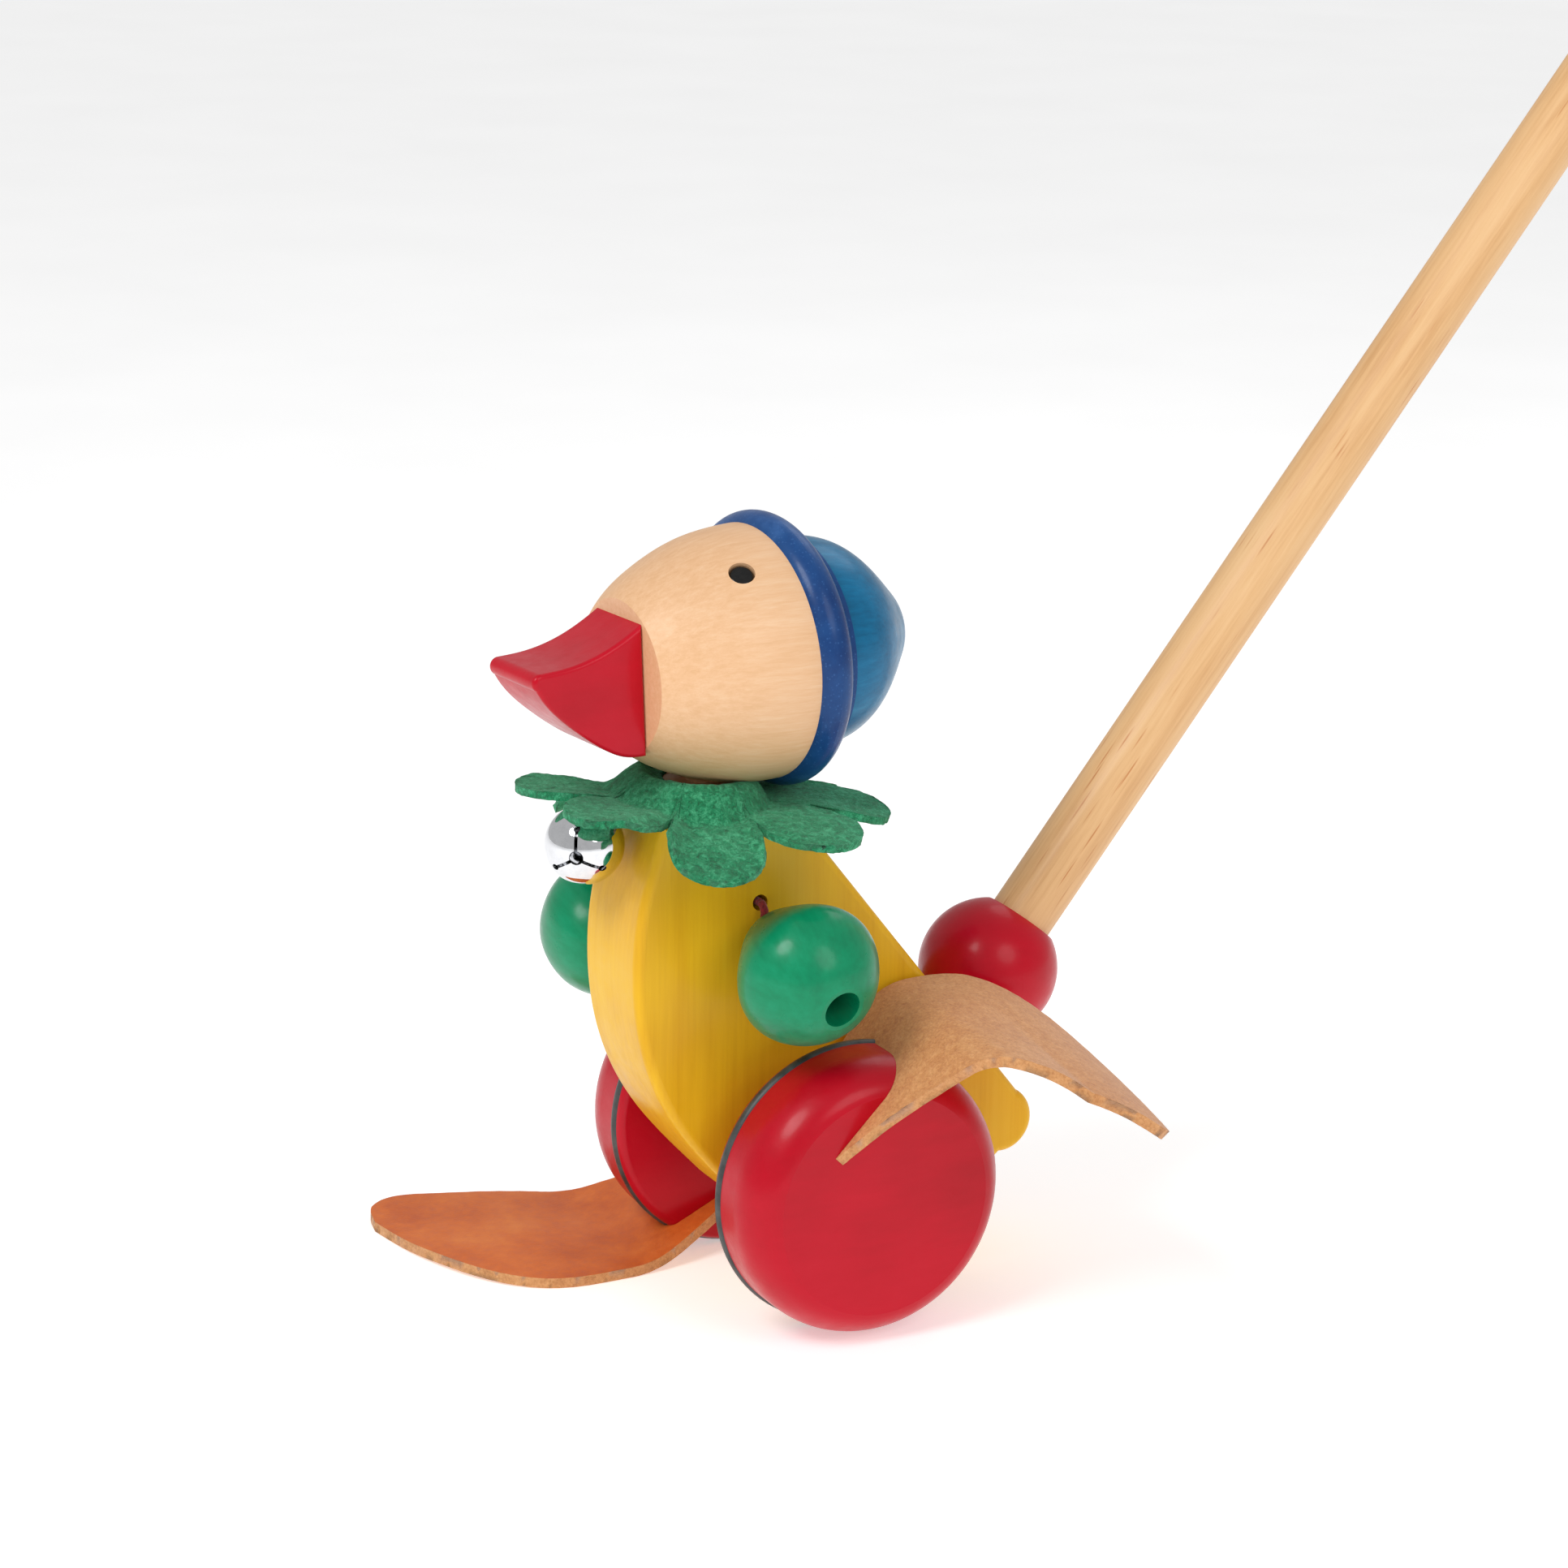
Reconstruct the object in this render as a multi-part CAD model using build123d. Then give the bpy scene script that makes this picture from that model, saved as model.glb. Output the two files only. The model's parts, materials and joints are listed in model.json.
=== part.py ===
from build123d import *
import math
import os

# A wooden push-along bird: a flat turned-edge body board on two wheels, with leather
# feet that slap the floor, bead wings on a cord, a chest bell and a long push rod.
# Millimetres. +Z up, the bird faces -Y, +X is the bird's own left.
# Origin: on the floor, straight under the middle of the axle.

# --- driving dimensions -------------------------------------------------------
# wheels and axle
TYRE_MEAN_R = 37.5
TYRE_SECTION_R = 1.8
WHEEL_R = 38.6
AXLE_Z = TYRE_MEAN_R + TYRE_SECTION_R
AXLE_R = 4.0
WHEEL_IN_X = 28.5
WHEEL_OUT_X = 53.5
TYRE_X = 32.0
WHEEL_FLAT_R = 30.5
WHEEL_SHOULDER_X = 41.0
AXLE_END_X = WHEEL_OUT_X - 6.0
SPACER_R = 8.0
RUNNING_FIT = 0.06

# body board
BODY_HALF = 16.0
BODY_TOP_Z = 139.2
BODY_EDGE_R = 2.4
NECK_Y = -27.5
DOWEL_R = 5.0

# head, beak and hat, all on one horizontal turning axis; the head sits a little
# turned and tipped on its neck
HEAD_Z = 178.3
HEAD_TURN = 5.0
HEAD_TILT = 2.6
BEAK_BACK_Y = -53.0
BEAK_HALF = 12.0
BEAK_PEG_Z = 173.0
BRIM_Y = -8.3
BRIM_RING_R = 31.2
BRIM_SECTION_R = 5.7
CROWN_R = 28.6
CROWN_TIP_Y = 31.8
HEAD_SEAT_Z = 146.1
HEAD_STATIONS = [(-4.5, 34.0), (-16.0, 34.2), (-27.5, 32.9), (-40.0, 28.6)]
HEAD_BACK_Y = HEAD_STATIONS[0][0]
HEAD_FRONT_R = 20.4
EYE_R = 3.5
EYE_Y = -27.0
EYE_ANGLE = 55.0

# felt collar
FELT = 2.2
COLLAR_Z = BODY_TOP_Z + 0.15
COLLAR_DISC_R = 23.5
COLLAR_REACH = 50.0
LOBE_HALF = 12.3
LOBE_TURNS = [-21, 24, 69, 114, 159, 204, 249, 294]
LOBE_LIFTS = [13, 13, -18, -11, -8, -8, -12, -17]
LOBE_HINGES = [16.0, 16.0] + [COLLAR_DISC_R] * 6

# push rod
ROD_TILT = 38.7
ROD_R = 9.0
ROD_BALL_R = 19.4
ROD_BALL_Y = 61.2
ROD_BALL_Z = 81.2
ROD_LENGTH = 520.0
ROD_SPIGOT_R = 6.0
ROD_END_ROUND = 3.0
ROD_FLAT = 16.2
ROD_DIR = Vector(0, math.sin(math.radians(ROD_TILT)), math.cos(math.radians(ROD_TILT)))
ROD_BALL = Vector(0, ROD_BALL_Y, ROD_BALL_Z)
BACK_LOW = Vector(0, 63.0, 49.3)
BACK_HIGH = Vector(0, -8.8, BODY_TOP_Z)
BACK_DIR = (BACK_HIGH - BACK_LOW).normalized()
BACK_NORMAL = Vector(0, BACK_DIR.Z, -BACK_DIR.Y)

# wings: pear-shaped beads on a cord through the body
CORD_R = 1.1
CORD_Y = -18.7
CORD_Z = 114.9
# each wing: the bead's middle, the way it points, and where its cord turns down;
# both are given on the +X side, and the right one is mirrored
LEFT_WING = (Vector(39.5, -16.8, 101.7), Vector(0.95, 0.10, -0.30).normalized(), 18.9)
RIGHT_WING = (Vector(36.5, -38.5, 95.5), Vector(0.586, -0.579, -0.567).normalized(), 21.0)
WING_R = 19.5
WING_TIP = 20.5
WING_TIP_R = 4.2
WING_END = 17.0
WING_HOLE_R = 5.2
WING_BORE_R = 1.5
CORD_MOUTH = Vector(BODY_HALF + 0.45, CORD_Y, CORD_Z)
KNOT_R = 3.4

# chest bell
BELL_R = 10.6
BELL_WALL = 0.7
BELL_CENTRE = Vector(0.0, -62.4, 132.2)
BELL_AXIS = Vector(0.80, -0.60, -0.08).normalized()
BELL_PIVOT_GAP = 13.5
CLAPPER_R = 2.6
EYE_RING_R = 3.0
EYE_WIRE_R = 0.7
BELL_PIVOT = BELL_CENTRE - BELL_AXIS * BELL_PIVOT_GAP
BELL_SLOT_TURN = 32
BELL_SLOT = 0.9
BELL_SLOT_REACH = 7.2
BELL_SLOT_DIR = BELL_AXIS.cross(Vector(0, 0, 1)).normalized().rotate(
    Axis((0, 0, 0), BELL_AXIS), BELL_SLOT_TURN
)

# leather feet, held in saw kerfs across the wheels
LEATHER = 3.0
KERF_OFFSET = 20.4
KERF_START = 0.4
KERF_TURN_LEFT = 45.0
KERF_TURN_RIGHT = 205.0
BLADE_GAP = 0.35
KERF_LENGTH = math.sqrt(WHEEL_R ** 2 - KERF_OFFSET ** 2) - KERF_START
HINGE_S = KERF_LENGTH + 6.2
# the foot's two edges and toe as (along the leather, across the toy) pairs
OUTER_EDGE = [(0.0, 53.8), (18.0, 61.0), (40.0, 74.0), (54.0, 82.0), (74.0, 91.5), (90.0, 96.5)]
INNER_EDGE = [
    (0.0, 28.2), (18.0, 23.5), (36.0, 19.0), (53.0, 17.4), (70.0, 18.2), (82.0, 24.0),
    (92.0, 36.5), (99.5, 57.0),
]
TOE = (103.0, 80.0)
# bends as (length, degrees) pairs from the hinge on
LEFT_BENDS = [(9.0, 46), (58.0, 50)]
RIGHT_BENDS = [(13.0, 25), (54.0, 0)]


# --- small helpers ------------------------------------------------------------
def x_cylinder(radius, x0, x1, y=0.0, z=AXLE_Z):
    """A cylinder along X between two x values."""
    plane = Plane(origin=(x0, y, z), x_dir=(0, 1, 0), z_dir=(1, 0, 0))
    return plane * Cylinder(radius, x1 - x0, align=(Align.CENTER, Align.CENTER, Align.MIN))


def along(start, direction, radius, length):
    """A cylinder that starts at a point and runs along a direction."""
    plane = Plane(origin=start, z_dir=direction)
    return plane * Cylinder(radius, length, align=(Align.CENTER, Align.CENTER, Align.MIN))


def mirror_x(solid):
    """The other side's copy of a solid."""
    return mirror(solid, about=Plane.YZ)


def side_plate(outline, x0, x1):
    """A closed outline drawn in (Y, Z), given thickness along X."""
    plane = Plane(origin=(x0, 0, 0), x_dir=(0, 1, 0), z_dir=(1, 0, 0))
    return extrude(plane * make_face(outline), amount=x1 - x0)


def turned_on_x(profile, z=AXLE_Z):
    """A lathe shape about the axle; the profile's x is the axle, its y the radius."""
    face = make_face(profile)
    return Pos(0, 0, z) * revolve(Plane.XZ * face, axis=Axis.X, revolution_arc=360)


def turned_on(origin, direction, profile):
    """A lathe shape; the profile's x runs along the direction, its y is the radius."""
    face = make_face(profile)
    solid = revolve(face, axis=Axis.X, revolution_arc=360)
    normal = Vector(0, 0, 1).cross(direction)
    return Plane(origin=origin, x_dir=direction, z_dir=normal) * solid


# --- body ---------------------------------------------------------------------
def body_outline():
    """The bird's side outline: round breast, straight back, blunt tail."""
    front = Spline(
        (-47.2, BODY_TOP_Z), (-53.0, 118.0), (-55.0, 97.0), (-51.8, 75.0),
        (-41.5, 53.5), (-24.0, 33.0), (4.0, 20.0),
        tangents=[(-0.20, -1.0), (1.0, -0.12)],
    )
    belly = Spline((4.0, 20.0), (30.0, 20.6), (57.5, 32.0), tangents=[(1.0, -0.12), (0.75, 0.66)])
    tail = ThreePointArc((57.5, 32.0), (67.6, 40.6), (BACK_LOW.Y, BACK_LOW.Z))
    back = Line((BACK_LOW.Y, BACK_LOW.Z), (BACK_HIGH.Y, BODY_TOP_Z))
    top = Line((BACK_HIGH.Y, BODY_TOP_Z), (-47.2, BODY_TOP_Z))
    return [front, belly, tail, back, top]


def make_body():
    board = side_plate(body_outline(), -BODY_HALF, BODY_HALF)
    sides = board.faces().filter_by(Axis.X)
    board = fillet(sides.edges(), BODY_EDGE_R)
    board -= x_cylinder(AXLE_R + RUNNING_FIT, -BODY_HALF - 1, BODY_HALF + 1)
    board -= x_cylinder(CORD_R + 1.1, -BODY_HALF - 1, BODY_HALF + 1, CORD_Y, CORD_Z)
    board -= along((0, NECK_Y, BODY_TOP_Z - 14), (0, 0, 1), DOWEL_R, 20)
    board -= along(ROD_BALL - ROD_DIR * 44, ROD_DIR, ROD_SPIGOT_R, 44)
    board -= along(eye_shank_start(), Vector(0, 1, 0), EYE_WIRE_R + 0.05, 13)
    return board - eye_ring(EYE_WIRE_R + 0.1)


# --- wheels -------------------------------------------------------------------
def kerf_frame(turn):
    """Direction and normal of a kerf, as (Y, Z) pairs about the axle."""
    a = math.radians(turn)
    along_kerf = Vector(0, math.cos(a), math.sin(a))
    normal = Vector(0, -math.sin(a), math.cos(a))
    return along_kerf, normal


def kerf_origin(turn):
    """The kerf's closed end, on the leather's middle plane."""
    d, n = kerf_frame(turn)
    return Vector(0, 0, AXLE_Z) + n * KERF_OFFSET + d * KERF_START


def wheel_profile():
    """Half section of the left wheel: flat inner face, tyre seat, domed shoulder."""
    inner = Line((WHEEL_IN_X, 0), (WHEEL_IN_X, WHEEL_R - 2.6))
    corner = ThreePointArc(
        (WHEEL_IN_X, WHEEL_R - 2.6), (WHEEL_IN_X + 0.55, WHEEL_R - 0.8), (WHEEL_IN_X + 2.0, WHEEL_R)
    )
    tread = Line((WHEEL_IN_X + 2.0, WHEEL_R), (WHEEL_SHOULDER_X, WHEEL_R))
    shoulder = Spline(
        (WHEEL_SHOULDER_X, WHEEL_R), (WHEEL_OUT_X - 3.6, WHEEL_R - 3.0), (WHEEL_OUT_X, WHEEL_FLAT_R),
        tangents=[(1, 0), (0.25, -1)],
    )
    face = Line((WHEEL_OUT_X, WHEEL_FLAT_R), (WHEEL_OUT_X, 0))
    axis = Line((WHEEL_OUT_X, 0), (WHEEL_IN_X, 0))
    return [inner, corner, tread, shoulder, face, axis]


def tyre_solid(section):
    ring = Torus(TYRE_MEAN_R, section)
    return Plane(origin=(TYRE_X, 0, AXLE_Z), z_dir=(1, 0, 0)) * ring


def make_wheel(turn):
    wheel = turned_on_x(wheel_profile())
    wheel -= tyre_solid(TYRE_SECTION_R + 0.03)
    wheel -= x_cylinder(AXLE_R, WHEEL_IN_X - 1, AXLE_END_X + 1.5)
    d, n = kerf_frame(turn)
    plane = Plane(origin=kerf_origin(turn), x_dir=(1, 0, 0), z_dir=n)
    sign = 1 if plane.y_dir.dot(d) > 0 else -1
    saw = plane * (Pos(WHEEL_OUT_X - 13, sign * 30, 0) * Box(60, 60, LEATHER + 0.02))
    return wheel - saw


def make_axle():
    return x_cylinder(AXLE_R, -AXLE_END_X, AXLE_END_X)


def make_spacer():
    ring = x_cylinder(SPACER_R, BODY_HALF + 0.4, WHEEL_IN_X)
    return ring - x_cylinder(AXLE_R, BODY_HALF, WHEEL_IN_X + 1)


# --- leather feet -------------------------------------------------------------
def kerf_plane(turn):
    """Local frame: x along the foot, y towards +X, z off the leather's hollow side."""
    d, _ = kerf_frame(turn)
    return Plane(origin=kerf_origin(turn), x_dir=d, z_dir=d.cross(Vector(1, 0, 0)))


def foot_outline(place):
    """The foot's outline; place turns a distance along the leather into a plan length."""
    outer = [(place(s), x) for s, x in OUTER_EDGE]
    inner = [(place(s), x) for s, x in INNER_EDGE]
    toe = (place(TOE[0]), TOE[1])
    return make_face([
        Spline(*outer, toe, tangents=[(1, 0.3), (0, -1)]),
        Spline(*inner, toe, tangents=[(1, -0.25), (0, 1)]),
        Line(inner[0], outer[0]),
    ])


def make_foot_heel(turn):
    """The leather inside the kerf, up to the bend line, slotted where the tyre passes."""
    heel = extrude(foot_outline(lambda s: s), amount=LEATHER / 2, both=True)
    end = HINGE_S - LEATHER / 2 - BLADE_GAP
    heel -= Pos(end, 50, 0) * Box(200, 200, 20, align=(Align.MIN, Align.CENTER, Align.CENTER))
    return kerf_plane(turn) * heel - tyre_solid(TYRE_SECTION_R + 0.25)


def walk(bends, distance, offset=0.0):
    """Where a point of the bent leather lies: (along, off, heading) past the hinge."""
    x, y, heading = HINGE_S, 0.0, 0.0
    left = distance
    for length, turn in bends:
        step = min(left, length)
        swing = math.radians(turn) * step / length
        if turn == 0:
            x, y = x + step * math.cos(heading), y + step * math.sin(heading)
        else:
            r = length / math.radians(turn)
            x += r * (math.sin(heading + swing) - math.sin(heading))
            y -= r * (math.cos(heading + swing) - math.cos(heading))
        heading += swing
        left -= step
    x += left * math.cos(heading)
    y += left * math.sin(heading)
    return x - offset * math.sin(heading), y + offset * math.cos(heading), heading


def bent_side(bends):
    """The side section of the bent leather, with a round end at the hinge."""
    total = sum(length for length, _ in bends)
    half = LEATHER / 2
    edges = []
    for offset in (half, -half):
        s = 0.0
        for length, turn in bends:
            p, m, q = (walk(bends, s + f * length, offset)[:2] for f in (0.0, 0.5, 1.0))
            edges.append(Line(p, q) if turn == 0 else ThreePointArc(p, m, q))
            s += length
    edges.append(Line(walk(bends, total, half)[:2], walk(bends, total, -half)[:2]))
    edges.append(ThreePointArc((HINGE_S, half), (HINGE_S - half, 0), (HINGE_S, -half)))
    return make_face(edges)


def make_foot_blade(turn, bends):
    """The free leather past the rim: bent, and cut to the foot's outline."""
    side = Plane(origin=(0, 100, 0), x_dir=(1, 0, 0), z_dir=(0, -1, 0))
    strip = extrude(side * bent_side(bends), amount=92)
    end = walk(bends, TOE[0] - HINGE_S)
    chord = Vector(end[0] - HINGE_S, 0, end[1]).normalized()

    def place(s):
        if s <= HINGE_S:
            return s - HINGE_S
        x, y, _ = walk(bends, s - HINGE_S)
        return (x - HINGE_S) * chord.X + y * chord.Z

    plan = Plane(origin=(HINGE_S, 0, 0), x_dir=chord, z_dir=chord.cross(Vector(0, 1, 0)))
    prism = extrude(plan * foot_outline(place), amount=90, both=True)
    return kerf_plane(turn) * (strip & prism)


# --- collar, neck, head -------------------------------------------------------
def lobe_bar(start, stop):
    """A flat bar of felt that runs outward between two distances from the neck."""
    bar = Box(stop - start, 2 * LOBE_HALF, FELT, align=(Align.MIN, Align.CENTER, Align.MIN))
    return Pos(start, 0, 0) * bar


def make_collar():
    """A felt flower with eight round lobes; each lobe lifts or hangs by its own angle."""
    collar = Cylinder(COLLAR_DISC_R, FELT, align=(Align.CENTER, Align.CENTER, Align.MIN))
    straight = COLLAR_REACH - LOBE_HALF
    for turn, lift, bend in zip(LOBE_TURNS, LOBE_LIFTS, LOBE_HINGES):
        tip = Cylinder(LOBE_HALF, FELT, align=(Align.CENTER, Align.CENTER, Align.MIN))
        free = lobe_bar(bend, straight) + Pos(straight, 0, 0) * tip
        hinge = Pos(bend, 0, 0) * Rot(0, -lift, 0) * Pos(-bend, 0, 0)
        collar += Rot(0, 0, turn - 90) * (lobe_bar(10, bend + 0.2) + hinge * free)
    collar = Pos(0, NECK_Y, COLLAR_Z) * collar
    return collar - along((0, NECK_Y, COLLAR_Z - 5), (0, 0, 1), DOWEL_R + 0.2, 20)


def make_neck_dowel():
    return along((0, NECK_Y, BODY_TOP_Z - 14), (0, 0, 1), DOWEL_R, 32)


def make_neck_ring():
    """The wooden ring that clamps the felt under the head."""
    low = COLLAR_Z + FELT
    ring = along((0, NECK_Y, low), (0, 0, 1), 11.0, HEAD_SEAT_Z - low)
    return ring - along((0, NECK_Y, low - 1), (0, 0, 1), DOWEL_R, 20)


def on_neck(solid):
    """Turns and tips a piece of the head where the neck's line meets the head's axis."""
    lean = Rot(0, 0, HEAD_TURN) * Rot(HEAD_TILT, 0, 0)
    return Pos(0, NECK_Y, HEAD_Z) * lean * Pos(0, -NECK_Y, -HEAD_Z) * solid


def head_radius_at(y):
    """The egg's radius at a place along its axis, between the stations."""
    stations = HEAD_STATIONS + [(BEAK_BACK_Y, HEAD_FRONT_R)]
    for (y0, r0), (y1, r1) in zip(stations, stations[1:]):
        if y1 <= y <= y0:
            return r0 + (r1 - r0) * (y - y0) / (y1 - y0)
    return HEAD_FRONT_R


def egg_solid():
    """The plain turned egg, before any cut."""
    curve = Spline(
        *[(-y, r) for y, r in HEAD_STATIONS], (-BEAK_BACK_Y, HEAD_FRONT_R),
        tangents=[(1, 0.06), (0.72, -0.70)],
    )
    back = Line((-HEAD_STATIONS[0][0], 0), (-HEAD_STATIONS[0][0], HEAD_STATIONS[0][1]))
    nose = Line((-BEAK_BACK_Y, HEAD_FRONT_R), (-BEAK_BACK_Y, 0))
    axis = Line((-BEAK_BACK_Y, 0), (-HEAD_STATIONS[0][0], 0))
    return turned_on((0, 0, HEAD_Z), Vector(0, -1, 0), [back, curve, nose, axis])


def make_head():
    """The egg with its eye pockets, its dowel holes and its flat seat on the neck."""
    head = egg_solid()
    head -= along((0, BEAK_BACK_Y - 1, BEAK_PEG_Z), (0, 1, 0), 3.0, 13)
    head -= along((0, HEAD_BACK_Y - 13, HEAD_Z), (0, 1, 0), 4.0, 20)
    for side in (1, -1):
        head -= eye_pocket(side)
    head = on_neck(head)
    head -= Pos(0, NECK_Y, HEAD_SEAT_Z - 20) * Box(80, 80, 40)
    return head - along((0, NECK_Y, HEAD_SEAT_Z - 5), (0, 0, 1), DOWEL_R, 19)


def eye_place(side):
    """The eye's centre on the egg, and the way it looks out."""
    a = math.radians(EYE_ANGLE)
    out = Vector(side * math.cos(a), -0.22, math.sin(a)).normalized()
    r = head_radius_at(EYE_Y)
    return Vector(side * r * math.cos(a), EYE_Y, HEAD_Z + r * math.sin(a)), out


def eye_pocket(side):
    place, out = eye_place(side)
    return along(place - out * 2.6, out, EYE_R, 8)


def make_eye(side):
    """A black domed peg set just below the egg's surface."""
    place, out = eye_place(side)
    peg = along(place - out * 2.6, out, EYE_R - 0.35, 1.7)
    return fillet(peg.edges().sort_by_distance(place + out * 10)[0:1], 0.6)


def make_beak():
    """A flat-sided beak sawn from board: dished top, round lower edge."""
    top = Spline((BEAK_BACK_Y, 194.2), (-64.0, 188.9), (-74.0, 186.5), (-83.0, 186.1),
                 tangents=[(-0.87, -0.50), (-1, 0.0)])
    tip = ThreePointArc((-83.0, 186.1), (-85.3, 184.3), (-84.2, 181.6))
    low = Spline((-84.2, 181.6), (-75.0, 170.6), (-64.0, 162.2), (BEAK_BACK_Y, 159.2),
                 tangents=[(0.45, -0.9), (1, 0.02)])
    back = Line((BEAK_BACK_Y, 159.2), (BEAK_BACK_Y, 194.2))
    beak = side_plate([top, tip, low, back], -BEAK_HALF, BEAK_HALF)
    sides = beak.faces().filter_by(Axis.X)
    beak = fillet(sides.edges(), 1.2)
    return beak - along((0, BEAK_BACK_Y - 10, BEAK_PEG_Z), (0, 1, 0), 3.0, 14)


def make_beak_dowel():
    return along((0, BEAK_BACK_Y - 9.5, BEAK_PEG_Z), (0, 1, 0), 3.0, 21)


def make_brim():
    """The hat's rolled brim: a round ring behind the egg's widest part."""
    ring = Plane(origin=(0, BRIM_Y, HEAD_Z), z_dir=(0, 1, 0)) * Torus(BRIM_RING_R, BRIM_SECTION_R)
    ring += along((0, HEAD_BACK_Y, HEAD_Z), (0, 1, 0), BRIM_RING_R - 1, 5.0)
    ring -= egg_solid()
    return ring - along((0, HEAD_BACK_Y - 1, HEAD_Z), (0, 1, 0), 4.0, 10)


def make_crown():
    """The hat's dome."""
    y0 = HEAD_BACK_Y + 5.0
    depth = CROWN_TIP_Y - y0
    curve = Spline((0, CROWN_R), (depth * 0.45, CROWN_R * 0.86), (depth * 0.84, CROWN_R * 0.45),
                   (depth, 0), tangents=[(1, -0.02), (0, -1)])
    profile = [Line((0, 0), (0, CROWN_R)), curve, Line((depth, 0), (0, 0))]
    dome = turned_on((0, y0, HEAD_Z), Vector(0, 1, 0), profile)
    return dome - along((0, y0 - 1, HEAD_Z), (0, 1, 0), 4.0, 13)


def make_hat_dowel():
    return along((0, HEAD_BACK_Y - 12.5, HEAD_Z), (0, 1, 0), 4.0, 29)


# --- push rod -----------------------------------------------------------------
def make_rod_ball():
    """The turned stop ball, flat where the rod enters and where it meets the back."""
    ball = Pos(*ROD_BALL) * Sphere(ROD_BALL_R)
    gap = (ROD_BALL - BACK_LOW).dot(BACK_NORMAL)
    seat = Plane(origin=ROD_BALL - BACK_NORMAL * gap, z_dir=BACK_NORMAL)
    ball -= seat * Box(80, 80, 40, align=(Align.CENTER, Align.CENTER, Align.MAX))
    ball -= Plane(origin=ROD_BALL + ROD_DIR * ROD_FLAT, z_dir=ROD_DIR) * Box(
        80, 80, 40, align=(Align.CENTER, Align.CENTER, Align.MIN)
    )
    return ball - along(ROD_BALL - ROD_DIR * 30, ROD_DIR, ROD_SPIGOT_R, 60)


def make_push_rod():
    """A round beech rod; its thin spigot runs through the ball into the body."""
    shaft = along(ROD_BALL + ROD_DIR * ROD_FLAT, ROD_DIR, ROD_R, ROD_LENGTH - ROD_FLAT)
    top = shaft.edges().sort_by(Axis.Z)[-1]
    shaft = fillet(top, ROD_END_ROUND)
    spigot = along(ROD_BALL - ROD_DIR * 43, ROD_DIR, ROD_SPIGOT_R, 43 + ROD_FLAT + 0.5)
    return shaft + spigot


# --- chest bell ---------------------------------------------------------------
def eye_shank_start():
    return BELL_PIVOT + Vector(0, 2 * EYE_RING_R, 0)


def eye_ring(section):
    centre = BELL_PIVOT + Vector(0, EYE_RING_R, 0)
    return Plane(origin=centre, z_dir=(1, 0, 0)) * Torus(EYE_RING_R, section)


def make_screw_eye():
    """A wire eye: an upright ring on a shank screwed into the breast."""
    return eye_ring(EYE_WIRE_R) + along(eye_shank_start(), Vector(0, 1, 0), EYE_WIRE_R + 0.05, 12)


def bell_ball(radius):
    return Pos(*BELL_CENTRE) * Sphere(radius)


def bell_half(sign):
    """Keeps the half of space on one side of the bell's seam."""
    plane = Plane(origin=BELL_CENTRE, z_dir=BELL_AXIS * sign)
    return plane * Box(60, 60, 30, align=(Align.CENTER, Align.CENTER, Align.MIN))


def make_bell_front():
    """The slotted half shell: three slots from a round hole, each ending in a small hole."""
    shell = (bell_ball(BELL_R) - bell_ball(BELL_R - BELL_WALL)) & bell_half(1)
    plane = Plane(origin=BELL_CENTRE + BELL_AXIS * 2.5, x_dir=BELL_SLOT_DIR, z_dir=BELL_AXIS)
    for angle in (0, 120, 240):
        petal = plane * Rot(0, 0, angle)
        shell -= petal * Box(
            BELL_SLOT_REACH, BELL_SLOT, 20, align=(Align.MIN, Align.CENTER, Align.MIN)
        )
        shell -= petal * Pos(BELL_SLOT_REACH, 0, 0) * Cylinder(
            BELL_SLOT, 20, align=(Align.CENTER, Align.CENTER, Align.MIN)
        )
    shell -= plane * Cylinder(1.9, 20, align=(Align.CENTER, Align.CENTER, Align.MIN))
    return shell


def make_bell_rear():
    """The plain half shell with its hanging loop."""
    shell = (bell_ball(BELL_R) - bell_ball(BELL_R - BELL_WALL)) & bell_half(-1)
    loop = Plane(origin=BELL_PIVOT, z_dir=(0, 0, 1)) * Torus(2.6, 0.55)
    loop -= bell_ball(BELL_R - BELL_WALL / 2)
    return shell + loop


def make_bell_clapper():
    """The loose pellet, lying at the bottom of the bell."""
    drop = BELL_R - BELL_WALL - CLAPPER_R - 0.15
    return Pos(*(BELL_CENTRE - Vector(0, 0, drop))) * Sphere(CLAPPER_R)


# --- wings --------------------------------------------------------------------
def make_wing(wing):
    """A pear-shaped bead: narrow at the body, with a deep counterbore outside."""
    centre, axis, _ = wing
    curve = Spline((-WING_TIP, WING_TIP_R), (-WING_TIP * 0.70, 11.9), (0.5, WING_R),
                   (WING_END * 0.80, 12.6), (WING_END, WING_HOLE_R + 1.2),
                   tangents=[(0.25, 1.0), (0.35, -1.0)])
    tip = Line((-WING_TIP, 0), (-WING_TIP, WING_TIP_R))
    end = Line((WING_END, WING_HOLE_R + 1.2), (WING_END, 0))
    middle = Line((WING_END, 0), (-WING_TIP, 0))
    bead = turned_on(centre, axis, [tip, curve, end, middle])
    bead -= along(centre - axis * (WING_TIP + 2), axis, WING_BORE_R, 40)
    return bead - along(centre + axis * 2, axis, WING_HOLE_R, 30)


def cord_hinge(wing):
    """Where the cord bends as the wing lifts, just off the bead's tip."""
    centre, axis, _ = wing
    return centre - axis * (WING_TIP + 1.6)


def cord_tube(points):
    path = FilletPolyline(*points, radius=2 * CORD_R)
    start = (points[1] - points[0]).normalized()
    return sweep(Plane(origin=points[0], z_dir=start) * Circle(CORD_R), path=path)


def make_cord_bend(wing):
    """The short turn of cord between the body's hole and the wing's tip."""
    corner = Vector(wing[2], CORD_Y, CORD_Z - 0.3)
    stop = cord_hinge(wing)
    back = (corner - stop).normalized()
    return cord_tube([CORD_MOUTH, corner, stop + back * 1.2])


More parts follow.
